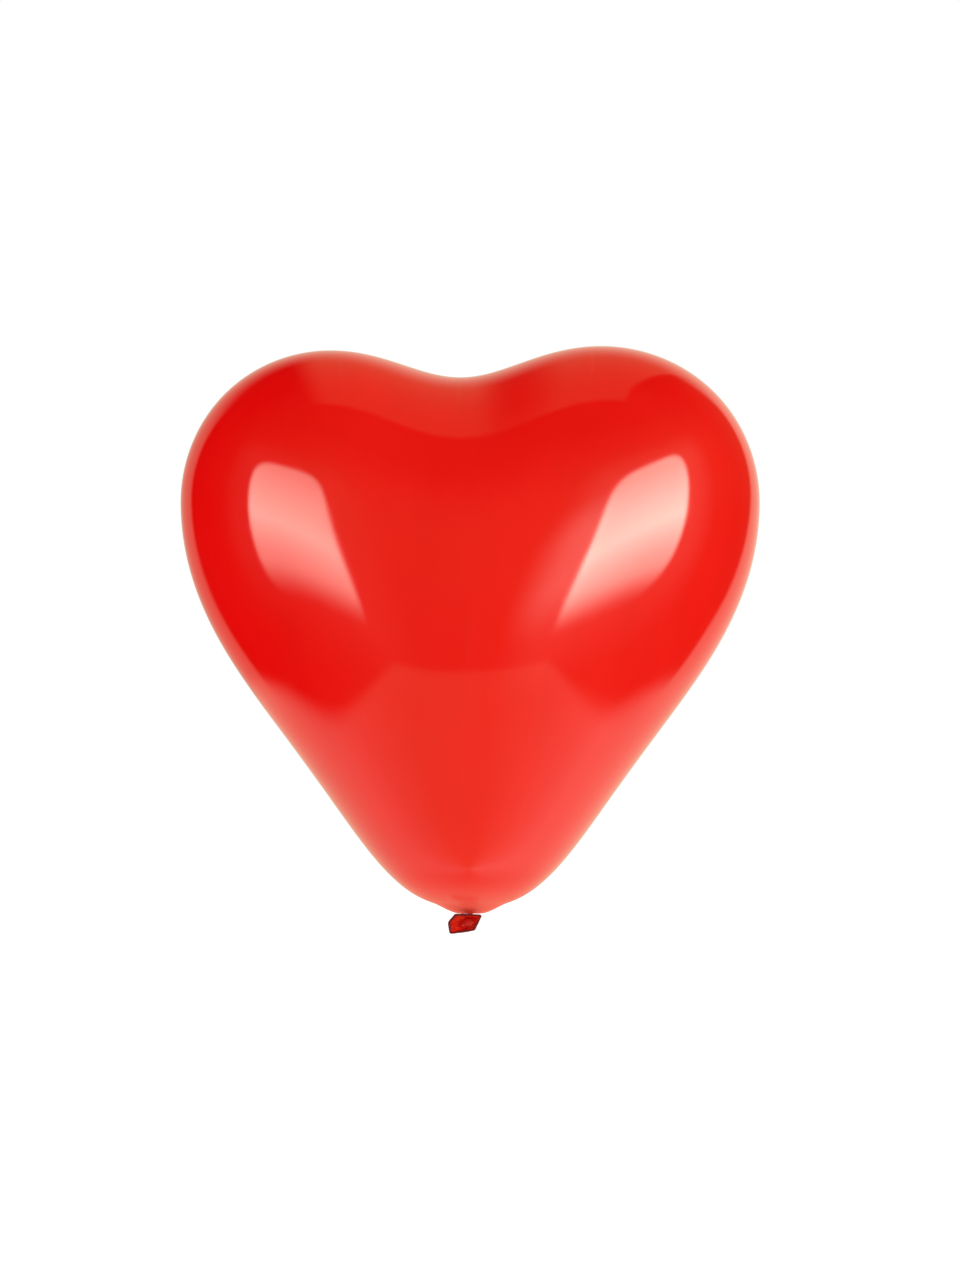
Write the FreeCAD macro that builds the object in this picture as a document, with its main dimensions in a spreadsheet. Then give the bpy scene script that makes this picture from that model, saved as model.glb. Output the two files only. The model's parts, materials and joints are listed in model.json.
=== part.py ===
"""Heart-shaped latex party balloon, inflated and tied off, in millimetres.

The origin is the tie, at the very bottom of the heart where the neck is gathered.
+Z runs up through the cleft, X is the width, and -Y is the side that faces forward.
The heart is one thin blown skin. Its neck is gathered into a pleated nipple, twisted
into a strand, tied in an overhand knot and left as a short flared tail with a rolled bead.
"""

import FreeCAD, Part
import math
import os

from FreeCAD import Placement, Vector

DIMENSIONS = [
    # the heart, whose levels are measured from its widest level
    ("heart_width", 300.0, "side to side at the widest level"),
    ("heart_depth", 180.0, "front to back, before the fullness of the upper half"),
    ("cleft_rise", 65.1, "widest level up to the bottom of the cleft"),
    ("shoulder_rise", 111.8, "height that each lobe is drawn up to at its flank"),
    ("lobe_spread", 0.168, "how soon the lobe rises beside the cleft"),
    ("lobe_roundness", 0.743, "share of the rise that the lobe's round part takes"),
    ("cleft_lean", 0.03, "sideways lean of the cleft, as a share of half the width"),
    ("hip_drop", 138.4, "widest level down to where a flank's curve aims"),
    ("tip_drop", 209.8, "widest level down to the bottom tip"),
    ("tip_spread", 0.526, "half the width that the pointed lower part takes"),
    ("tip_sharpness", 3.212, "how straight the flanks run into the tip"),
    ("fullness", 0.1, "how much deeper the upper half is than the lower half"),
    ("skin_wall", 0.4, "wall of the blown skin"),
    ("nipple_height", 2.0, "bottom tip of the heart above the tie"),
    ("neck_hole_radius", 4.2, "opening of the skin into the neck"),
    # the pleated nipple, which sways in the opening
    ("sway_height", 2.3, "middle of the opening above the tie"),
    ("gather_bottom", 0.35, "lower end of the pleats"),
    ("gather_rise", 0.8, "pleats that run up past the middle of the opening"),
    ("gather_low_radius", 2.05, "nipple at its lower end"),
    ("gather_top_radius", 3.7, "nipple where it meets the skin"),
    ("gather_flare", 1.6, "how late the nipple widens on its way up"),
    ("pleat_count", 9.0, "pleats round the nipple"),
    ("pleat_depth", 0.13, "pleats as a share of the radius at the lower end"),
    ("pleat_fade", 0.6, "share of that depth that is lost at the upper end"),
    # the twisted strand, with a round end that the knot nods on
    ("strand_top", 0.15, "upper end of the strand"),
    ("strand_top_radius", 1.4, "strand under the pleats"),
    ("strand_taper", 1.2, "length over which the strand narrows"),
    ("strand_radius", 1.0, "strand at its waist"),
    ("nod_drop", 3.2, "middle of the knot's loop below the tie"),
    ("strand_ball_radius", 1.35, "round end of the strand"),
    # the overhand knot
    ("loop_radius", 3.0, "middle of the loop's roll from the strand"),
    ("loop_roll_radius", 1.35, "half the thickness of the rolled loop"),
    ("loop_tilt", 10.0, "sideways tilt of the loop, in degrees"),
    ("knot_clearance", 0.05, "gap between the loop and the strand through it"),
    ("knot_socket_gap", 0.3, "gap round the parts that turn in the knot"),
    ("core_drop", 6.2, "middle of the strand through the loop, below the tie"),
    ("core_radius", 2.9, "bulge of the strand through the loop"),
    # the tail
    ("flap_drop", 6.0, "root of the tail below the tie"),
    ("flap_forward", 5.2, "root of the tail in front of the tie"),
    ("tail_root_radius", 1.9, "gathered root of the tail"),
    ("mouth_forward", 14.5, "plane of the mouth in front of the tie"),
    ("tail_flare", 1.0, "how late the tail widens towards its mouth"),
    ("tail_wall", 0.5, "wall of the tail"),
    ("pocket_start", 0.3, "share of the tail that is closed before its pocket"),
    ("pocket_end", 1.05, "share of the tail that the pocket's cutter reaches, past the mouth"),
    ("bead_radius", 0.65, "half the thickness of the rolled bead"),
    ("mouth_corner_radius", 0.8, "bend of the bead at each corner of the mouth"),
    # outer corners of the limp mouth, across and below the tie
    ("corner_1_across", -7.7, "upper left"),
    ("corner_1_below", 0.1, "upper left"),
    ("corner_2_across", 6.8, "upper right"),
    ("corner_2_below", 0.3, "upper right"),
    ("corner_3_across", 2.4, "lower right"),
    ("corner_3_below", 8.8, "lower right"),
    ("corner_4_across", -10.6, "lower left"),
    ("corner_4_below", 10.8, "lower left"),
    ("corner_5_across", -11.5, "left"),
    ("corner_5_below", 4.2, "left"),
]
MOUTH_CORNERS = 5
HEART_RINGS = 36
HEART_SPOKES = 48
PLEAT_SECTIONS = 6
POINTS_PER_PLEAT = 6
SEAM_TURN = 0.25
TURN = 2.0 * math.pi
TINY = 1e-9
TAIL_SECTIONS = 6
TAIL_POINTS = 36


def make_sheet(doc):
    """The spreadsheet of driving dimensions: name, value and meaning in columns A, B and C."""
    sheet = doc.addObject("Spreadsheet::Sheet", "dims")
    for row, (alias, value, meaning) in enumerate(DIMENSIONS, start=1):
        sheet.set(f"A{row}", alias)
        sheet.set(f"B{row}", str(value))
        sheet.set(f"C{row}", meaning)
        sheet.setAlias(f"B{row}", alias)
    doc.recompute()
    return sheet


def bind(thing, **expressions):
    """Bind properties of an object to expressions of the sheet's cells."""
    for name, expression in expressions.items():
        thing.setExpression(name.replace("__", "."), expression)


def primitive(doc, kind, name, **expressions):
    """A Part primitive whose sizes and place follow the sheet."""
    thing = doc.addObject(f"Part::{kind}", name)
    bind(thing, **expressions)
    return thing


def closed_curve(points):
    """A smooth closed wire through the points."""
    curve = Part.BSplineCurve()
    curve.interpolate(Points=points, PeriodicFlag=True)
    return Part.Wire([curve.toShape()])


def add_shape(doc, name, shape):
    """A sub-part whose surface is worked out here, because no primitive has its form."""
    thing = doc.addObject("Part::Feature", name)
    thing.Shape = shape
    thing.Placement = Placement()
    return thing


# ---- the heart ----


def upper_rise(size, across):
    """Height of the upper outline's own law at a share of half the width from the middle."""
    leaned = across + size["cleft_lean"] * (1.0 - across * across)
    square = leaned * leaned
    spread = size["lobe_spread"]
    lobe = (1.0 + spread) * square / (square + spread)
    share = size["lobe_roundness"] * lobe + (1.0 - size["lobe_roundness"]) * square
    return size["cleft_rise"] + (size["shoulder_rise"] - size["cleft_rise"]) * share


def lower_drop(size, across):
    """Depth of the lower outline's own law at a share of half the width from the middle."""
    power = size["tip_sharpness"]
    here = 1.0 / (1.0 + (abs(across) / size["tip_spread"]) ** power)
    edge = 1.0 / (1.0 + (1.0 / size["tip_spread"]) ** power)
    share = (here - edge) / (1.0 - edge)
    return size["hip_drop"] + (size["tip_drop"] - size["hip_drop"]) * share


def heart_point(size, turn, share, inset):
    """A point of the heart, drawn in by a wall: turn goes round +Z, share from neck to cleft."""
    half_width = size["heart_width"] / 2.0 - inset
    half_depth = size["heart_depth"] / 2.0 - inset
    low_depth = half_depth * (1.0 - size["fullness"])
    heading = Vector(math.cos(turn) / half_width, math.sin(turn) / low_depth, 0.0)
    neck = math.asin(size["neck_hole_radius"] * heading.Length)
    polar = neck + (math.pi - neck) * share
    heading.normalize()
    across = math.sin(polar) * heading.x
    forward = math.sin(polar) * heading.y
    lift = -math.cos(polar)
    shrink = max(math.hypot(forward, lift), TINY)
    depth = half_depth * (1.0 + size["fullness"] * lift / shrink)
    rise = upper_rise(size, across) - inset
    drop = lower_drop(size, across) - inset
    level = (rise - drop) / 2.0 * shrink + (rise + drop) / 2.0 * lift
    widest = size["tip_drop"] + size["nipple_height"]
    return Vector(half_width * across, depth * forward, widest + level)


def heart_surface(size, inset):
    """The heart as one smooth surface: rings from the round neck opening up to the cleft."""
    rings = []
    for i in range(HEART_RINGS + 1):
        turns = [TURN * (j / HEART_SPOKES + SEAM_TURN) for j in range(HEART_SPOKES + 1)]
        rings.append([heart_point(size, turn, i / HEART_RINGS, inset) for turn in turns])
    surface = Part.BSplineSurface()
    surface.interpolate(rings)
    return surface


def make_envelope(doc, size):
    """The blown skin: an even thin wall, open at the bottom into the neck."""
    outside = heart_surface(size, 0.0)
    inside = heart_surface(size, size["skin_wall"])
    lips = [surface.uIso(surface.bounds()[0]).toShape() for surface in (outside, inside)]
    shell = Part.makeShell([outside.toShape(), Part.makeRuledSurface(*lips), inside.toShape()])
    shell.sewShape()
    return add_shape(doc, "envelope", Part.Solid(shell))


# ---- the neck ----


def make_gather(doc, size):
    """The pleated nipple: fluted rings that widen upward into the opening of the skin."""
    count = int(size["pleat_count"])
    low, top = size["gather_low_radius"], size["gather_top_radius"]
    height = size["sway_height"] + size["gather_rise"] - size["gather_bottom"]
    sections = []
    for i in range(PLEAT_SECTIONS):
        share = i / (PLEAT_SECTIONS - 1)
        radius = low + (top - low) * share ** size["gather_flare"]
        depth = size["pleat_depth"] * (1.0 - size["pleat_fade"] * share)
        z = size["gather_bottom"] + height * share
        points = []
        for j in range(count * POINTS_PER_PLEAT):
            turn = TURN * j / (count * POINTS_PER_PLEAT)
            r = radius * (1.0 - depth * (0.5 - 0.5 * math.cos(count * turn)))
            points.append(Vector(r * math.cos(turn), r * math.sin(turn), z))
        sections.append(closed_curve(points))
    return add_shape(doc, "neck_gather", Part.makeLoft(sections, True))


def make_strand(doc):
    """The twisted strand: it narrows to a waist and ends in a ball inside the knot's loop."""
    taper = primitive(
        doc, "Cone", "strand_shoulder",
        Radius1="dims.strand_radius",
        Radius2="dims.strand_top_radius",
        Height="dims.strand_taper",
        Placement__Base__z="dims.strand_top - dims.strand_taper",
    )
    waist = primitive(
        doc, "Cylinder", "strand_waist",
        Radius="dims.strand_radius",
        Height="dims.nod_drop + dims.strand_top - dims.strand_taper",
        Placement__Base__z="-dims.nod_drop",
    )
    ball = primitive(
        doc, "Sphere", "strand_ball",
        Radius="dims.strand_ball_radius",
        Placement__Base__z="-dims.nod_drop",
    )
    strand = doc.addObject("Part::MultiFuse", "neck_strand")
    strand.Shapes = [taper, waist, ball]
    return strand


# ---- the knot ----


def make_loop(doc, name, clearance):
    """The roll of the loop round the strand, thicker by a clearance where it is a cutter."""
    loop = primitive(
        doc, "Torus", name,
        Radius1="dims.loop_radius",
        Radius2=f"dims.loop_roll_radius + {clearance}",
        Placement__Base__z="-dims.nod_drop",
        Placement__Rotation__Angle="dims.loop_tilt",
    )
    loop.Placement.Rotation.Axis = Vector(0.0, 1.0, 0.0)
    return loop


def make_core(doc):
    """The strand through the loop: a bulge hollowed round the loop, the ball and the tail."""
    bulge = primitive(
        doc, "Sphere", "core_bulge",
        Radius="dims.core_radius",
        Placement__Base__z="-dims.core_drop",
    )
    loop_seat = make_loop(doc, "loop_seat", "dims.knot_clearance")
    ball_seat = primitive(
        doc, "Sphere", "ball_seat",
        Radius="dims.strand_ball_radius + dims.knot_socket_gap",
        Placement__Base__z="-dims.nod_drop",
    )
    tail_seat = primitive(
        doc, "Sphere", "tail_seat",
        Radius="dims.tail_root_radius + dims.knot_socket_gap",
        Placement__Base__y="-dims.flap_forward",
        Placement__Base__z="-dims.flap_drop",
    )
    seats = doc.addObject("Part::MultiFuse", "core_seats")
    seats.Shapes = [loop_seat, ball_seat, tail_seat]
    core = doc.addObject("Part::Cut", "knot_core")
    core.Base = bulge
    core.Tool = seats
    return core


# ---- the tail ----


def mouth_outline(size):
    """Centre line of the bead: the limp mouth's corners, drawn in and rounded."""
    corners = []
    for i in range(1, MOUTH_CORNERS + 1):
        across, below = size[f"corner_{i}_across"], size[f"corner_{i}_below"]
        corners.append(Vector(across, -size["mouth_forward"], -below))
    face = Part.Face(Part.makePolygon(corners + corners[:1]))
    bend = size["mouth_corner_radius"]
    drawn_in = face.makeOffset2D(-size["bead_radius"] - bend)
    return drawn_in.makeOffset2D(bend).OuterWire


def tail_section(size, outline, centre, share, inset):
    """A ring of the tail, between its round root and its limp mouth."""
    root = Vector(0.0, -size["flap_forward"], -size["flap_drop"])
    end = Vector(centre.x, -size["mouth_forward"] + size["bead_radius"], centre.z)
    middle = root + (end - root) * share
    widening = share ** size["tail_flare"]
    points = []
    for rim in outline:
        spoke = Vector(rim.x - centre.x, 0.0, rim.z - centre.z)
        radius = size["tail_root_radius"] * (1.0 - widening) + spoke.Length * widening
        points.append(middle + spoke.normalize() * (radius - inset))
    return closed_curve(points)


def make_sleeve(doc, size, outline, centre):
    """The flared end of the neck, open towards its mouth, on a ball in the knot."""
    step = 1.0 / (TAIL_SECTIONS - 1)
    start, end = size["pocket_start"], size["pocket_end"]
    outer = []
    inner = []
    for i in range(TAIL_SECTIONS):
        outer.append(tail_section(size, outline, centre, i * step, -size["tail_wall"] / 2.0))
        share = start + (end - start) * i * step
        inner.append(tail_section(size, outline, centre, share, size["tail_wall"] / 2.0))
    root_place = Vector(0.0, -size["flap_forward"], -size["flap_drop"])
    root = Part.makeSphere(size["tail_root_radius"], root_place)
    sleeve = Part.makeLoft(outer, True).fuse(root).cut(Part.makeLoft(inner, True))
    return add_shape(doc, "tail_sleeve", sleeve)


def make_bead(doc, size, outline):
    """The rolled bead: a round section swept along the mouth."""
    start = outline.Vertexes[0].Point
    heading = outline.Edges[0].tangentAt(outline.Edges[0].FirstParameter)
    ring = Part.Wire([Part.makeCircle(size["bead_radius"], start, heading)])
    bead = outline.makePipeShell([ring], True, True)
    return add_shape(doc, "rolled_bead", bead)


def check(doc, sub_parts):
    """Stop on any failed object, or any sub-part without a valid solid."""
    for thing in doc.Objects:
        if "Invalid" in thing.State or "Error" in thing.State:
            raise RuntimeError(f"{thing.Name} failed: {thing.State}")
    for thing in sub_parts:
        if thing.Shape.isNull() or not thing.Shape.isValid():
            raise RuntimeError(f"{thing.Label} has no valid shape")
        if len(thing.Shape.Solids) != 1 or thing.Shape.Volume <= 0.0:
            raise RuntimeError(f"{thing.Label} is not one solid with a volume")


def main():
    doc = FreeCAD.newDocument("heart_balloon")
    sheet = make_sheet(doc)
    size = {alias: float(sheet.get(alias)) for alias, _, _ in DIMENSIONS}

    outline_wire = mouth_outline(size)
    centre = Part.Face(outline_wire).CenterOfMass
    outline = outline_wire.discretize(Number=TAIL_POINTS + 1)[:-1]
    sub_parts = [
        make_envelope(doc, size),
        make_gather(doc, size),
        make_strand(doc),
        make_loop(doc, "knot_loop", "0"),
        make_core(doc),
        make_sleeve(doc, size, outline, centre),
        make_bead(doc, size, outline_wire),
    ]
    for thing in sub_parts:
        thing.Label = thing.Name
    doc.recompute()
    check(doc, sub_parts)

    os.makedirs("parts", exist_ok=True)
    for thing in sub_parts:
        thing.Shape.exportStep(f"parts/{thing.Label}.step")
        box = thing.Shape.BoundBox
        print(f"{thing.Label}: {thing.Shape.Volume:.1f} mm3, z {box.ZMin:.2f} to {box.ZMax:.2f}")


main()
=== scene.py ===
"""Looks of the heart-shaped latex balloon: blown skin, gathered neck, knot and flared tail.

Metres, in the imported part's own frame: the tie is the origin, +Z runs up through the cleft
and -Y is the front. Lengths written as n * MM are in millimetres.
"""

import json
import math

import bpy
import numpy as np
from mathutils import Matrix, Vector


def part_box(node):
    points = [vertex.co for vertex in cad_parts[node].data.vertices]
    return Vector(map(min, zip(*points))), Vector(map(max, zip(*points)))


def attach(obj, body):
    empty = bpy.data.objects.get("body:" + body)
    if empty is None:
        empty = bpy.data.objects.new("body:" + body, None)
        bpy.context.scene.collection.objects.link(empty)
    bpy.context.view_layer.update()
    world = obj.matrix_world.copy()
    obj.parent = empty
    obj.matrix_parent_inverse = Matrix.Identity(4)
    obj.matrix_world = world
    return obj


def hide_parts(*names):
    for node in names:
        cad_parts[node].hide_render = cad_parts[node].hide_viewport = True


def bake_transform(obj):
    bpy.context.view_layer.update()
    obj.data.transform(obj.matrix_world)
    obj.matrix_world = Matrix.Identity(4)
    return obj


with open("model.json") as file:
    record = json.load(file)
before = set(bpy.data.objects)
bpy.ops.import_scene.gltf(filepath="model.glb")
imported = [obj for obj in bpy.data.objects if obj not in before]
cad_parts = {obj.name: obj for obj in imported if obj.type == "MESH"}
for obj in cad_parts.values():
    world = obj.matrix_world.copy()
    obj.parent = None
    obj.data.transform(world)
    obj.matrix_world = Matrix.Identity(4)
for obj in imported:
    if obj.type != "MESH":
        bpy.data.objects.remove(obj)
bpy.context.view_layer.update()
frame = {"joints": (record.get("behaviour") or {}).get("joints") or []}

MM = 0.001
TURN = 2.0 * math.pi

# The heart's laws, as shares of its own widths and levels, for the envelope in the frame.
SKIN_LOW, SKIN_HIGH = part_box("envelope")
HALF_WIDTH = (SKIN_HIGH[0] - SKIN_LOW[0]) / 2.0
HALF_DEPTH = 90.0 * MM
WIDEST = 211.8 * MM
CLEFT_RISE, SHOULDER_RISE = 65.1 * MM, 111.8 * MM
HIP_DROP, TIP_DROP = 138.4 * MM, 209.8 * MM
LOBE_SPREAD, LOBE_ROUNDNESS, CLEFT_LEAN = 0.168, 0.743, 0.03
TIP_SPREAD, TIP_SHARPNESS = 0.526, 3.212
FULLNESS = 0.1
NECK_RADIUS = 4.2 * MM

# The nipple that the gathered neck draws out of the tip: its rim, its foot and its dimple.
NIPPLE_DROP, NIPPLE_RIM, NIPPLE_FOOT = 3.0 * MM, 6.0 * MM, 20.0 * MM
DIMPLE_RISE = 2.1 * MM

# The pleats round the neck: two counts of folds that beat against each other.
PLEATS, FINE_PLEATS = 14.0, 23.0
PLEAT_PHASE, FINE_PLEAT_PHASE = 0.6, 2.0
PLEAT_HEIGHT, PLEAT_REACH = 0.10 * MM, 4.5 * MM

# Where the tail flaps on the knot.
FLAP = next(Vector(joint["pos_m"]) for joint in frame["joints"] if joint["name"] == "tail_flap")


# ---- mesh helpers ----


def add_mesh(name, points, faces, material, body=None):
    """A smooth mesh object with one material, riding on a body where one is named."""
    mesh = bpy.data.meshes.new(name)
    mesh.from_pydata([tuple(p) for p in points], [], faces)
    mesh.validate()
    mesh.update()
    mesh.materials.append(material)
    mesh.polygons.foreach_set("use_smooth", [True] * len(mesh.polygons))
    thing = bpy.data.objects.new(name, mesh)
    bpy.context.scene.collection.objects.link(thing)
    if body:
        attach(thing, body)
    return thing


def ring_mesh(rings, closed_path=False):
    """Points and quads over rings of equal length, capped at both ends unless the path closes."""
    rings = np.asarray(rings)
    count, around = rings.shape[:2]
    points = list(rings.reshape(-1, 3))
    faces = []
    for i in range(count if closed_path else count - 1):
        here, there = i * around, (i + 1) % count * around
        for j in range(around):
            k = (j + 1) % around
            faces.append((here + j, here + k, there + k, there + j))
    if not closed_path:
        for start, flip in ((0, True), ((count - 1) * around, False)):
            points.append(np.mean(rings[start // around], axis=0))
            hub = len(points) - 1
            for j in range(around):
                k = (j + 1) % around
                edge = (start + k, start + j) if flip else (start + j, start + k)
                faces.append((*edge, hub))
    return points, faces


def smooth_step(t):
    """0 up to 0, 1 from 1 on, and smooth between."""
    t = np.clip(t, 0.0, 1.0)
    return t * t * (3.0 - 2.0 * t)


def sweep(path, radii, around, crease):
    """Rings of a tube along a smooth path. crease gives each ring's own radius factors."""
    path = np.asarray(path, float)
    ahead = np.gradient(path, axis=0)
    ahead /= np.linalg.norm(ahead, axis=1, keepdims=True)
    side = np.array([1.0, 0.0, 0.0])
    rings = []
    for i, (centre, heading) in enumerate(zip(path, ahead)):
        side = side - heading * side.dot(heading)
        side /= np.linalg.norm(side)
        other = np.cross(heading, side)
        angles = TURN * np.arange(around) / around
        reach = radii[i] * crease(angles, i / (len(path) - 1.0))
        spokes = np.outer(np.cos(angles) * reach, side) + np.outer(np.sin(angles) * reach, other)
        rings.append(centre + spokes)
    return rings


def spline(knots, count):
    """Points along a Catmull-Rom curve through the knots."""
    knots = np.asarray(knots, float)
    padded = np.vstack([2 * knots[0] - knots[1], knots, 2 * knots[-1] - knots[-2]])
    points = []
    for t in np.linspace(0.0, len(knots) - 1.0, count):
        i = min(int(t), len(knots) - 2)
        f = t - i
        a, b, c, d = padded[i : i + 4]
        bend = 2 * a - 5 * b + 4 * c - d
        points.append(0.5 * (2 * b + (c - a) * f + bend * f * f + (3 * b - a - 3 * c + d) * f**3))
    return np.array(points)


def smooth_rings(rings, steps):
    """The same rings with more between them, on smooth curves along the piece."""
    rings = np.asarray(rings)
    count = (len(rings) - 1) * steps + 1
    flat = spline(rings.reshape(len(rings), -1), count)
    return flat.reshape(-1, *rings.shape[1:])


# ---- materials ----


class Nodes:
    """A short hand for the node tree of a material or a world."""

    def __init__(self, owner, space="Object"):
        owner.use_nodes = True
        self.tree = owner.node_tree
        self.shader = self.tree.nodes.get("Principled BSDF") or self.tree.nodes.get("Background")
        self.place = self.add("ShaderNodeTexCoord").outputs[space]

    def add(self, kind, **settings):
        node = self.tree.nodes.new(kind)
        for key, value in settings.items():
            setattr(node, key, value)
        return node

    def link(self, source, target):
        self.tree.links.new(source, target)

    def feed(self, socket, value):
        """Link a socket into another, or set a number or a colour on it."""
        if isinstance(value, bpy.types.NodeSocket):
            self.link(value, socket)
        else:
            socket.default_value = (*value, 1.0) if isinstance(value, tuple) else value

    def calc(self, operation, *values):
        node = self.add("ShaderNodeMath", operation=operation)
        for socket, value in zip(node.inputs, values):
            self.feed(socket, value)
        return node.outputs["Value"]

    def noise(self, scale, detail=2.0, stretch=(1.0, 1.0, 1.0), roughness=0.5):
        """Noise in the object's own space, with features 1 / scale metres across."""
        mapping = self.add("ShaderNodeMapping")
        mapping.inputs["Scale"].default_value = stretch
        self.link(self.place, mapping.inputs["Vector"])
        texture = self.add("ShaderNodeTexNoise")
        texture.inputs["Scale"].default_value = scale
        texture.inputs["Detail"].default_value = detail
        texture.inputs["Roughness"].default_value = roughness
        self.link(mapping.outputs["Vector"], texture.inputs["Vector"])
        return texture.outputs["Fac"]

    def ramp(self, source, *stops):
        """A colour or grey ramp: each stop is (position, colour or grey)."""
        node = self.add("ShaderNodeValToRGB")
        elements = node.color_ramp.elements
        while len(elements) < len(stops):
            elements.new(0.5)
        for element, (position, colour) in zip(elements, stops):
            element.position = position
            shade = colour if isinstance(colour, tuple) else (colour,) * 3
            element.color = (*shade, 1.0)
        self.link(source, node.inputs["Fac"])
        return node.outputs["Color"]

    def mix(self, share, one, other, kind="MIX"):
        """Mix two colours, each a socket or a colour, by a socket or a number."""
        node = self.add("ShaderNodeMix", data_type="RGBA", blend_type=kind)
        factor, first, second = node.inputs[0], node.inputs[6], node.inputs[7]
        self.feed(factor, share)
        self.feed(first, one)
        self.feed(second, other)
        return node.outputs[2]

    def remap(self, source, low, high, to_low, to_high):
        """A smooth step of a value, from one number or socket to another."""
        node = self.add("ShaderNodeMapRange", interpolation_type="SMOOTHSTEP")
        ends = {"From Min": low, "From Max": high, "To Min": to_low, "To Max": to_high}
        for name, value in ends.items():
            self.feed(node.inputs[name], value)
        self.link(source, node.inputs["Value"])
        return node.outputs["Result"]

    def axis(self, name):
        """One coordinate of the object's own space, in metres, or of a world's direction."""
        split = self.add("ShaderNodeSeparateXYZ")
        self.link(self.place, split.inputs["Vector"])
        return split.outputs[name]

    def bump(self, height, strength, distance):
        node = self.add("ShaderNodeBump")
        node.inputs["Strength"].default_value = strength
        node.inputs["Distance"].default_value = distance
        self.link(height, node.inputs["Height"])
        self.link(node.outputs["Normal"], self.shader.inputs["Normal"])


def blown_latex():
    """Stretched glossy latex: even deep red, duller where it is thicker, close to the neck, where a
    paler pink is painted in as painted light.
    """
    material = bpy.data.materials.new("blown_latex")
    nodes = Nodes(material)
    clouds = nodes.ramp(
        nodes.noise(14.0, 3.0, (1.0, 1.0, 0.45)),
        (0.35, (0.80, 0.0022, 0.0019)),
        (0.65, (0.85, 0.0032, 0.0025)),
    )
    thick_and_painted_pale = nodes.remap(nodes.axis("Z"), 0.0, 22.0 * MM, 1.0, 0.0)
    # Painted light: a paler pink near the neck lifts the shade the tail throws on the skin and
    # paints in a pale reflected rim above the tail.
    colour = nodes.mix(thick_and_painted_pale, clouds, (0.88, 0.110, 0.070))
    streaks = nodes.noise(90.0, 4.0, (1.0, 1.0, 0.12), 0.6)
    colour = nodes.mix(0.06, colour, nodes.ramp(streaks, (0.3, 0.55), (0.7, 1.0)), "MULTIPLY")
    nodes.link(colour, nodes.shader.inputs["Base Color"])
    gloss = nodes.remap(nodes.noise(40.0, 3.0), 0.3, 0.7, 0.06, 0.09)
    nodes.link(nodes.calc("MULTIPLY_ADD", thick_and_painted_pale, 0.26, gloss), nodes.shader.inputs["Roughness"])
    mirror = nodes.remap(nodes.axis("Z"), 4.0 * MM, 28.0 * MM, 0.04, 0.5)
    nodes.link(mirror, nodes.shader.inputs["Specular IOR Level"])
    nodes.shader.inputs["IOR"].default_value = 1.5
    nodes.bump(nodes.noise(900.0, 3.0, (1.0, 1.0, 0.5)), 0.05, 0.05 * MM)
    return material


def slack_latex(name, deep, light, scale, dull):
    """Unstretched neck latex: thicker, darker and less glossy, with fine creases."""
    material = bpy.data.materials.new(name)
    nodes = Nodes(material)
    clouds = nodes.noise(scale, 2.0)
    nodes.link(nodes.ramp(clouds, (0.35, deep), (0.65, light)), nodes.shader.inputs["Base Color"])
    gloss = nodes.ramp(nodes.noise(scale * 2.0, 2.0), (0.3, dull), (0.7, dull + 0.12))
    nodes.link(gloss, nodes.shader.inputs["Roughness"])
    nodes.shader.inputs["IOR"].default_value = 1.5
    nodes.shader.inputs["Specular IOR Level"].default_value = 0.25
    nodes.bump(nodes.noise(scale * 5.0, 3.0), 0.15, 0.08 * MM)
    return material


# ---- the heart ----


def upper_rise(across):
    """Height of the upper outline's own law at a share of half the width from the middle."""
    leaned = across + CLEFT_LEAN * (1.0 - across**2)
    lobe = (1.0 + LOBE_SPREAD) * leaned**2 / (leaned**2 + LOBE_SPREAD)
    share = LOBE_ROUNDNESS * lobe + (1.0 - LOBE_ROUNDNESS) * leaned**2
    return CLEFT_RISE + (SHOULDER_RISE - CLEFT_RISE) * share


def lower_drop(across):
    """Depth of the lower outline's own law at a share of half the width from the middle."""
    here = 1.0 / (1.0 + (abs(across) / TIP_SPREAD) ** TIP_SHARPNESS)
    edge = 1.0 / (1.0 + (1.0 / TIP_SPREAD) ** TIP_SHARPNESS)
    return HIP_DROP + (TIP_DROP - HIP_DROP) * (here - edge) / (1.0 - edge)


def heart_point(turn, share):
    """A point of the blown skin: turn goes round +Z, and share from the neck to the cleft."""
    low_depth = HALF_DEPTH * (1.0 - FULLNESS)
    heading = np.array([math.cos(turn) / HALF_WIDTH, math.sin(turn) / low_depth])
    reach = np.linalg.norm(heading)
    neck = math.asin(NECK_RADIUS * reach)
    polar = neck + (math.pi - neck) * share
    across, forward = math.sin(polar) * heading / reach
    lift = -math.cos(polar)
    shrink = max(math.hypot(forward, lift), 1e-9)
    rise, drop = upper_rise(across), lower_drop(across)
    level = (rise - drop) / 2.0 * shrink + (rise + drop) / 2.0 * lift
    depth = HALF_DEPTH * (1.0 + FULLNESS * lift / shrink)
    return np.array([HALF_WIDTH * across, depth * forward, WIDEST + level])


def nipple(turn, radius):
    """Drop of the skin round the neck: a low nipple, dimpled at the strand, with fading pleats."""
    drawn = smooth_step((NIPPLE_FOOT - radius) / (NIPPLE_FOOT - NIPPLE_RIM))
    dimple = smooth_step((NIPPLE_RIM - radius) / (NIPPLE_RIM - NECK_RADIUS))
    fade = np.exp(-(radius - NECK_RADIUS) / PLEAT_REACH)
    wave = np.cos(PLEATS * turn + PLEAT_PHASE)
    wave = wave + 0.6 * np.cos(FINE_PLEATS * turn + FINE_PLEAT_PHASE) + 0.4 * np.cos(9.0 * turn)
    return NIPPLE_DROP * drawn - DIMPLE_RISE * dimple + PLEAT_HEIGHT * fade * wave


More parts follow.
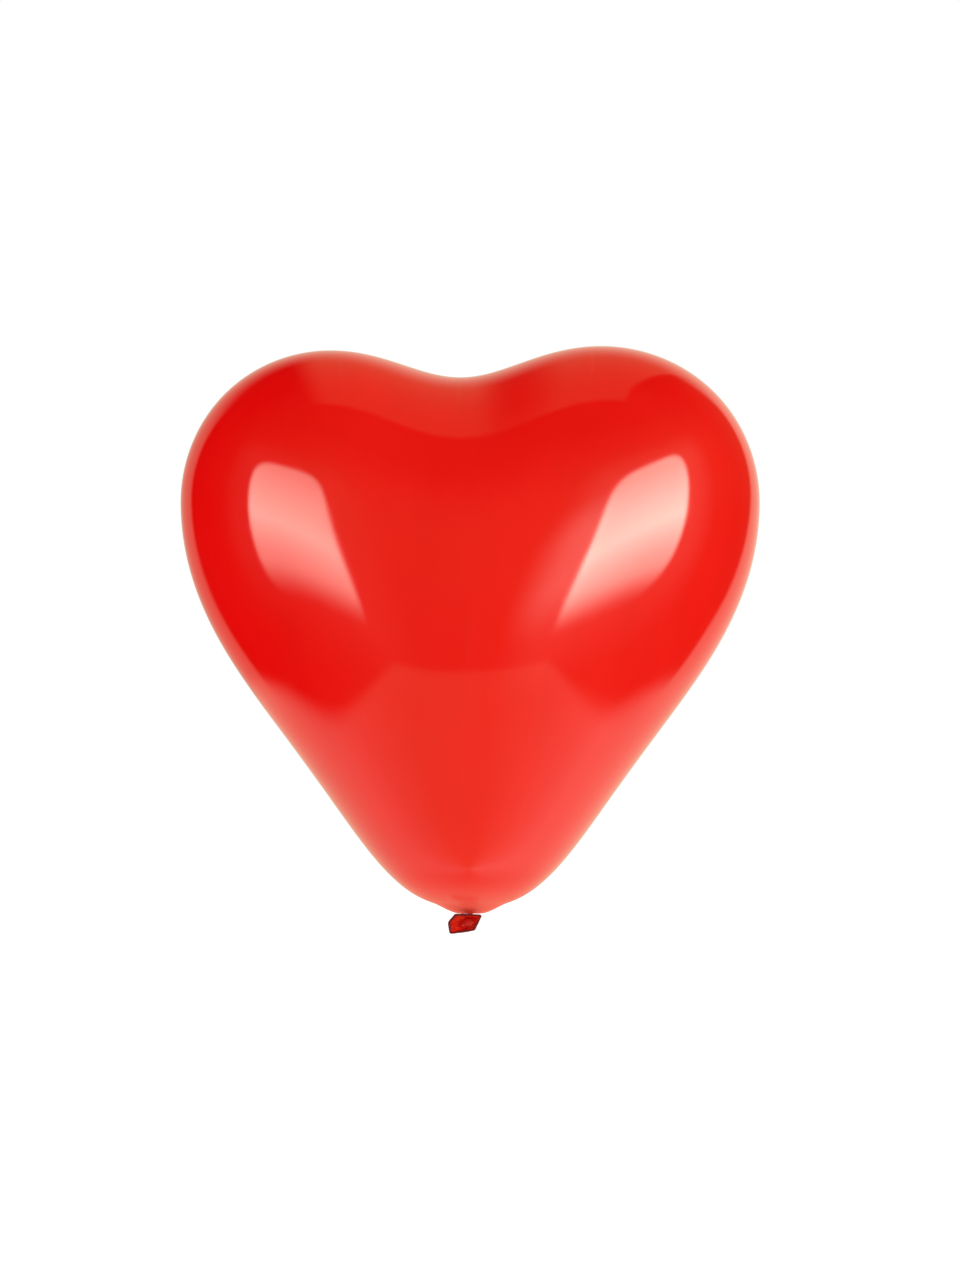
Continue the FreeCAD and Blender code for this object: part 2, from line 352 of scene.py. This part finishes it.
def heart_skin(material):
    """The blown skin, closed inside the neck by a short inward lip."""
    around, along, crowding = 288, 300, 1.35
    turns = TURN * np.arange(around) / around
    circle = np.column_stack([np.cos(turns), np.sin(turns)])
    rings = []
    for lip_radius, lip_height in ((2.0, 6.0), (3.4, 4.6), (3.9, 3.2)):
        level = np.full(around, lip_height * MM)
        rings.append(np.column_stack([lip_radius * MM * circle, level]))
    for i in range(along):
        share = (i / along) ** crowding
        ring = np.array([heart_point(t, share) for t in turns])
        if share < 0.5:
            ring[:, 2] -= nipple(turns, np.hypot(ring[:, 0], ring[:, 1]))
        rings.append(ring)
    skin = add_mesh("heart_skin", *ring_mesh(rings), material, "balloon")
    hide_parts("envelope")


# ---- the neck ----


def neck_funnel(material):
    """The pleated nipple, from the twisted strand up to a thin brim on the skin."""
    around = 144
    turns = TURN * np.arange(around) / around
    tip, tip_curve, brim_offset = WIDEST - TIP_DROP, 105.0 * MM, -0.06 * MM
    # Radius and height in millimetres. A height of None lies on the skin.
    profile = (
        (1.2, 0.05), (1.9, 0.15), (2.3, 0.35), (2.75, 0.6), (3.3, 0.85), (4.0, 1.1),
        (4.5, None), (5.2, None), (3.9, 2.2), (3.0, 3.0),
    )
    rings = []
    for radius, height in profile:
        radius *= MM
        brim = height is None
        level = tip + radius**2 / tip_curve + brim_offset if brim else height * MM
        depth = np.interp(radius, (2.0 * MM, 4.5 * MM), (0.22 * MM, 0.0))
        reach = radius + depth * np.cos(PLEATS * turns + PLEAT_PHASE)
        reach = reach + 0.5 * depth * np.cos(FINE_PLEATS * turns + FINE_PLEAT_PHASE)
        drop = nipple(turns, max(radius, NECK_RADIUS)) if brim else 0.0 * turns
        rings.append(np.column_stack([reach * np.cos(turns), reach * np.sin(turns), level - drop]))
    rings = smooth_rings(rings, 4)
    funnel = add_mesh("neck_funnel", *ring_mesh(rings), material)
    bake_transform(funnel)
    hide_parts("neck_gather")


def neck_strand(material):
    """The twisted strand between the pleats and the knot: bunched folds that wind round it."""
    count, around = 40, 72
    heights = np.linspace(0.2, -3.6, count)
    path = [(0.0, 0.0, z * MM) for z in heights]
    radii = MM * np.interp(-heights, (-0.2, 0.9, 1.8, 3.6), (1.85, 1.35, 1.2, 1.3))

    def folds(angles, share):
        deep = 0.13 * np.cos(6.0 * angles + 7.0 * share)
        return 1.0 + deep + 0.05 * np.cos(11.0 * angles + 12.0 * share)

    strand = add_mesh("twisted_strand", *ring_mesh(sweep(path, radii, around, folds)), material)
    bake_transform(strand)
    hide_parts("neck_strand")


def knot(material):
    """The overhand knot: the strand runs once round itself, dives under and out to the tail."""
    leaves_strand = [(0.5, 1.4, -1.9)]
    turn_steps, first_turn, step = 9, 80.0, 45.0
    loop = []
    for i in range(turn_steps):
        turn = math.radians(first_turn + step * i)
        reach = 2.75 if i else 2.3
        loop.append((reach * math.cos(turn), reach * math.sin(turn), -2.5 - 0.26 * i))
    dives_under = [(-1.0, 2.4, -6.0), (0.0, 0.8, -7.1), (0.1, -1.2, -6.9)]
    to_tail = [(0.0, -3.0, -6.2), (0.0, -4.2, -6.0)]
    path = spline(np.array(leaves_strand + loop + dives_under + to_tail) * MM, 150)
    share = np.linspace(0.0, 1.0, len(path))
    thickness = ((0.0, 0.9), (0.12, 1.3), (0.6, 1.4), (0.8, 1.75), (0.93, 1.6), (1.0, 1.45))
    radii = MM * np.interp(share, *zip(*thickness))

    def rolls(angles, along):
        deep = 0.07 * np.cos(5.0 * angles + 9.0 * along)
        return 1.0 + deep + 0.04 * np.cos(9.0 * angles - 14.0 * along)

    roll = add_mesh("overhand_knot", *ring_mesh(sweep(path, radii, 64, rolls)), material, "knot")
    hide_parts("knot_loop", "knot_core")


# ---- the tail ----

# Outer corners of the limp mouth, across and up from the tie, in millimetres.
MOUTH_CORNERS = ((-7.7, 0.1), (6.8, -0.1), (2.4, -8.8), (-10.6, -10.8), (-11.5, -4.2))
MOUTH_MIDDLE = np.array([-3.3, -4.7]) * MM
MOUTH_FRONT = -14.5 * MM
BEAD_RADIUS = 0.65 * MM
TAIL_AROUND = 180


def mouth_spokes():
    """Angle and length of the spokes from the mouth's middle to the middle of its bead."""
    corners = np.array(MOUTH_CORNERS) * MM - MOUTH_MIDDLE
    angles = TURN * np.arange(TAIL_AROUND) / TAIL_AROUND
    lengths = np.full(TAIL_AROUND, np.inf)
    for start, end in zip(corners, np.roll(corners, -1, axis=0)):
        edge = (end - start) / np.linalg.norm(end - start)
        normal = np.array([-edge[1], edge[0]])
        distance = normal.dot(start)
        if distance < 0.0:
            normal, distance = -normal, -distance
        facing = np.cos(angles) * normal[0] + np.sin(angles) * normal[1]
        facing_least = 1e-3
        away = (distance - BEAD_RADIUS) / np.maximum(facing, facing_least)
        away = np.where(facing > facing_least, away, np.inf)
        lengths = np.minimum(lengths, away)
    smoothing = 5
    wrap = smoothing // 2
    padded = np.concatenate([lengths[-wrap:], lengths, lengths[:wrap]])
    return angles, np.convolve(padded, np.ones(smoothing) / smoothing, "valid")


def tail_ring(share, inset):
    """A ring of the tail from its gathered root, at 0, to its mouth, at 1."""
    angles, spokes = mouth_spokes()
    root_behind, root_radius, least_radius = 1.6 * MM, 1.7 * MM, 0.2 * MM
    root = np.array([FLAP.x, FLAP.y + root_behind, FLAP.z])
    end = np.array([MOUTH_MIDDLE[0], MOUTH_FRONT + BEAD_RADIUS * 0.3, MOUTH_MIDDLE[1]])
    middle = root + (end - root) * share
    open_share = smooth_step(share) * 0.35 + share * 0.65
    reach = root_radius * (1.0 - open_share) + spokes * open_share
    fold = 1.0 - share
    folds = 0.10 * np.cos(9.0 * angles + 0.5) + 0.06 * np.cos(15.0 * angles)
    reach = reach * (1.0 + fold * folds)
    bulge = 4.0 * share * (1.0 - share)
    reach = reach + 0.10 * MM * bulge * np.cos(5.0 * angles + 1.0)
    reach = np.maximum(reach - inset, least_radius)
    out = np.zeros((TAIL_AROUND, 3))
    out[:, 0] = middle[0] + reach * np.cos(angles)
    out[:, 1] = middle[1]
    out[:, 2] = middle[2] + reach * np.sin(angles)
    return out


def tail_sleeve(material):
    """The flared end of the neck: outside, over the mouth's edge and back down its pocket."""
    pocket_start = 0.32
    outside = [tail_ring(share, -0.2 * MM) for share in np.linspace(0.0, 1.0, 28)]
    inside = [tail_ring(share, 0.25 * MM) for share in np.linspace(1.0, pocket_start, 22)]
    sleeve = add_mesh("tail_sleeve_skin", *ring_mesh(outside + inside), material)
    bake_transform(sleeve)
    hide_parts("tail_sleeve")


def mouth_bead(material):
    """The rolled bead round the mouth, with the slight lumps of rolled latex."""
    around = 20
    turns = TURN * np.arange(around) / around
    backward = np.array([0.0, 1.0, 0.0])
    middle = np.array([MOUTH_MIDDLE[0], MOUTH_FRONT, MOUTH_MIDDLE[1]])
    rings = []
    for angle, spoke in zip(*mouth_spokes()):
        outward = np.array([math.cos(angle), 0.0, math.sin(angle)])
        lumps = 0.05 * math.cos(11.0 * angle) + 0.04 * math.cos(17.0 * angle + 1.0)
        circle = np.outer(np.cos(turns), outward) + np.outer(np.sin(turns), backward)
        rings.append(middle + outward * spoke + BEAD_RADIUS * (1.0 + lumps) * circle)
    bead = add_mesh("mouth_bead", *ring_mesh(rings, closed_path=True), material, "tail")
    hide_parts("rolled_bead")


# ---- the studio ----

FLOOR_LEVEL = -1.2
SOFTBOX_TINT = (1.0, 1.0, 0.85)
SOFTBOX_TILT = 0.08
CORNER_POWER = 5.0
LEAST = 0.001


def between(nodes, value, low, high, soft_low, soft_high):
    """1 where a value is between two edges, falling to 0 over a soft width outside each."""
    rise = nodes.remap(value, low - soft_low, low, 0.0, 1.0)
    fall = nodes.remap(value, high, high + soft_high, 1.0, 0.0)
    return nodes.calc("MULTIPLY", rise, fall)


def off_centre(nodes, value, middle, half):
    """How far a value is from a middle, as a share of half a width, to the corners' power."""
    away = nodes.calc("ABSOLUTE", nodes.calc("SUBTRACT", value, middle))
    return nodes.calc("POWER", nodes.calc("DIVIDE", away, half), CORNER_POWER)


def softbox(nodes, azimuth, elevation, middle, half, lean, level, halo):
    """A softbox with rounded corners, brightest a little above eye level, in a faint halo.

    Angles are in degrees. Its lower edge rises towards the middle of the room.
    """
    leaned = nodes.calc("MULTIPLY_ADD", elevation, lean, azimuth)
    tilt = nodes.calc("MULTIPLY_ADD", azimuth, SOFTBOX_TILT, -SOFTBOX_TILT * middle[0])
    raised = nodes.calc("SUBTRACT", elevation, tilt)
    across = off_centre(nodes, leaned, middle[0], half[0])
    upward = off_centre(nodes, raised, middle[1], half[1])
    corner = nodes.calc("POWER", nodes.calc("ADD", across, upward), 1.0 / CORNER_POWER)
    core = nodes.remap(corner, 0.88, 1.01, 1.0, 0.0)
    height = nodes.calc("MULTIPLY_ADD", elevation, 0.02, 0.4)
    grade = nodes.ramp(height, (0.12, 0.33), (0.26, 0.53), (0.46, 1.0), (0.70, 0.70), (0.88, 0.49))
    core = nodes.calc("MULTIPLY", core, nodes.calc("MULTIPLY", grade, level))
    outward = nodes.calc("SUBTRACT", nodes.calc("ABSOLUTE", azimuth), abs(middle[0]))
    lower = nodes.calc("MULTIPLY_ADD", outward, 0.16, elevation)
    core = nodes.calc("MULTIPLY", core, nodes.remap(lower, -15.5, -7.5, 0.0, 1.0))
    spill = between(nodes, leaned, middle[0] - half[0], middle[0] + half[0], 20.0, 20.0)
    spill = nodes.calc("MULTIPLY", spill, between(nodes, elevation, -8.0, 24.0, 20.0, 16.0))
    return nodes.calc("MULTIPLY_ADD", spill, halo, core)


def floor_paper(nodes, x, y, z):
    """Where white floor paper is seen: it has straight sides and a bowed front edge."""
    down = nodes.calc("MAXIMUM", nodes.calc("MULTIPLY", z, -1.0), LEAST)
    across = nodes.calc("DIVIDE", nodes.calc("ABSOLUTE", x), down)
    bow = nodes.calc("MULTIPLY", nodes.calc("MULTIPLY", across, across), -0.33)
    bowed = nodes.calc("ADD", nodes.calc("DIVIDE", y, down), bow)
    sides = nodes.remap(across, 1.53, 1.67, 1.0, 0.0)
    return nodes.calc("MULTIPLY", sides, nodes.remap(bowed, -3.75, -3.4, 0.0, 1.0))


def ceiling_strip(nodes, x, back, up):
    """Where a pale strip of ceiling is seen, from just in front of the balloon to the back wall."""
    across = nodes.calc("DIVIDE", x, up)
    left = nodes.remap(across, -0.36, -0.10, 0.0, 1.0)
    flared = nodes.calc("MULTIPLY_ADD", nodes.calc("MAXIMUM", back, 0.0), -0.3, across)
    right = nodes.remap(flared, 0.28, 0.34, 1.0, 0.0)
    front = nodes.remap(back, -0.27, -0.20, 0.0, 1.0)
    return nodes.calc("MULTIPLY", nodes.calc("MULTIPLY", left, right), front)


def back_wall(nodes, x, z, behind):
    """Where the pale back wall is seen: its right edge leans in."""
    lift = nodes.calc("DIVIDE", z, behind)
    across = nodes.calc("DIVIDE", x, behind)
    lean = nodes.calc("MINIMUM", nodes.calc("MAXIMUM", lift, -0.8), 0.65)
    right = nodes.remap(nodes.calc("MULTIPLY_ADD", lean, 0.6, across), 1.05, 1.35, 1.0, 0.0)
    left = nodes.remap(across, -1.50, -1.15, 0.0, 1.0)
    top = nodes.remap(lift, 0.45, 1.35, 1.0, 0.0)
    return nodes.calc("MULTIPLY", nodes.calc("MULTIPLY", left, right), top)


def studio():
    """Even white light on the balloon, with a studio in its mirror, set out by direction.

    The skin mirrors a dim room, two softboxes, a floor, a back wall and a strip of ceiling.
    """
    world = bpy.data.worlds.new("studio")
    world.cycles.sampling_method = "NONE"
    bpy.context.scene.world = world
    nodes = Nodes(world, "Generated")
    x, y, z = (nodes.axis(name) for name in "XYZ")
    azimuth = nodes.calc("DEGREES", nodes.calc("ARCTAN2", x, nodes.calc("MULTIPLY", y, -1.0)))
    elevation = nodes.calc("DEGREES", nodes.calc("ARCSINE", z))
    turned = nodes.calc("MULTIPLY_ADD", azimuth, 1.0 / 360.0, 0.5)

    room = nodes.ramp(turned, (0.22, 0.0), (0.31, 0.10), (0.44, 0.29), (0.68, 0.36), (0.80, 0.14))
    room = nodes.calc("MULTIPLY", room, nodes.remap(elevation, 25.0, 60.0, 1.15, 0.34))
    room = nodes.calc("MULTIPLY", room, nodes.remap(elevation, -16.0, 20.0, 0.70, 1.0))
    light = nodes.mix(1.0, room, (1.1, 1.0, 0.42), "MULTIPLY")

    up = nodes.calc("MAXIMUM", z, LEAST)
    ceiling = ceiling_strip(nodes, x, nodes.calc("DIVIDE", y, up), up)
    light = nodes.mix(ceiling, light, (0.48, 0.42, 0.22))

    behind = nodes.calc("MAXIMUM", y, LEAST)
    to_right = nodes.remap(nodes.calc("DIVIDE", x, behind), -0.8, 0.9, 0.0, 1.0)
    wall = nodes.mix(to_right, (0.60, 0.54, 0.40), (1.15, 1.02, 0.76))
    light = nodes.mix(back_wall(nodes, x, z, behind), light, wall)

    paper = nodes.ramp(
        turned,
        (0.0, (0.80, 0.70, 0.48)),
        (0.22, (1.20, 1.08, 0.84)),
        (0.42, (0.75, 0.66, 0.36)),
        (0.53, (0.70, 0.62, 0.32)),
        (0.76, (1.60, 1.50, 1.18)),
        (1.0, (0.80, 0.72, 0.48)),
    )
    light = nodes.mix(floor_paper(nodes, x, y, z), light, paper)

    left = softbox(nodes, azimuth, elevation, (-52.0, 4.5), (19.8, 23.1), -0.15, 9.2, 0.22)
    right = softbox(nodes, azimuth, elevation, (48.0, 5.0), (20.9, 23.8), 0.0, 15.3, 0.55)
    glow = between(nodes, azimuth, 23.0, 30.0, 15.0, 3.0)
    glow = nodes.calc("MULTIPLY", glow, between(nodes, elevation, 2.0, 12.0, 14.0, 14.0))
    panels = nodes.calc("MULTIPLY_ADD", glow, 1.6, nodes.calc("ADD", left, right))
    light = nodes.mix(1.0, light, nodes.mix(1.0, panels, SOFTBOX_TINT, "MULTIPLY"), "ADD")
    is_glossy = nodes.add("ShaderNodeLightPath").outputs["Is Glossy Ray"]
    is_camera = nodes.add("ShaderNodeLightPath").outputs["Is Camera Ray"]
    plain = nodes.mix(is_camera, (0.91, 0.91, 0.91), (1.0, 1.0, 1.0))
    nodes.link(nodes.mix(is_glossy, plain, light), nodes.shader.inputs["Color"])


def key_light():
    """A large soft lamp from the front right, for the slight fall of light to the left."""
    lamp = bpy.data.lights.new("key_light", "AREA")
    lamp.shape = "SQUARE"
    lamp.size = 1.0
    lamp.energy = 3.0
    balloon_middle = Vector((0.0, 0.0, 0.15))
    thing = bpy.data.objects.new("key_light", lamp)
    bpy.context.scene.collection.objects.link(thing)
    thing.location = (1.3, -0.8, 0.5)
    aim = balloon_middle - thing.location
    thing.rotation_mode = "QUATERNION"
    thing.rotation_quaternion = aim.to_track_quat("-Z", "Y")
    thing.visible_glossy = False


def pale_floor():
    """The plain pale floor, well below the balloon."""
    material = bpy.data.materials.new("pale_floor")
    shader = Nodes(material).shader
    shader.inputs["Base Color"].default_value = (0.8, 0.8, 0.8, 1.0)
    shader.inputs["Roughness"].default_value = 1.0
    shader.inputs["Specular IOR Level"].default_value = 0.0
    shader.inputs["Emission Color"].default_value = (1.0, 1.0, 1.0, 1.0)
    shader.inputs["Emission Strength"].default_value = 0.35
    reach = 30.0
    corners = [(-reach, -reach), (reach, -reach), (reach, reach), (-reach, reach)]
    floor = add_mesh("floor", [(x, y, FLOOR_LEVEL) for x, y in corners], [(0, 1, 2, 3)], material)
    floor.visible_glossy = False


def add_camera():
    """Level with the middle of the frame, square to the front, with a long lens."""
    camera = bpy.data.objects.new("camera", bpy.data.cameras.new("camera"))
    bpy.context.scene.collection.objects.link(camera)
    distance, seen_height = 1.8, 0.6638
    right_of_tie, above_tie = 5.1 * MM, 140.8 * MM
    camera.location = (right_of_tie, -distance, above_tie)
    camera.rotation_euler = (math.pi / 2.0, 0.0, 0.0)
    camera.data.lens = camera.data.sensor_width * distance / seen_height
    bpy.context.scene.camera = camera


def main():
    bpy.context.scene.view_settings.view_transform = "Standard"
    gathered = slack_latex("gathered_latex", (0.48, 0.004, 0.003), (0.64, 0.007, 0.005), 700.0, 0.30)
    # Painted light in the tail's latex: a bright red that lifts the shade inside the pocket, with
    # brighter patches that paint in glints.
    neck = slack_latex("neck_latex", (0.62, 0.003, 0.002), (0.92, 0.045, 0.016), 220.0, 0.38)
    bead = slack_latex("bead_latex", (0.085, 0.0006, 0.0004), (0.16, 0.0012, 0.0008), 500.0, 0.55)
    heart_skin(blown_latex())
    neck_funnel(gathered)
    neck_strand(gathered)
    knot(gathered)
    tail_sleeve(neck)
    mouth_bead(bead)
    studio()
    key_light()
    pale_floor()
    add_camera()


main()
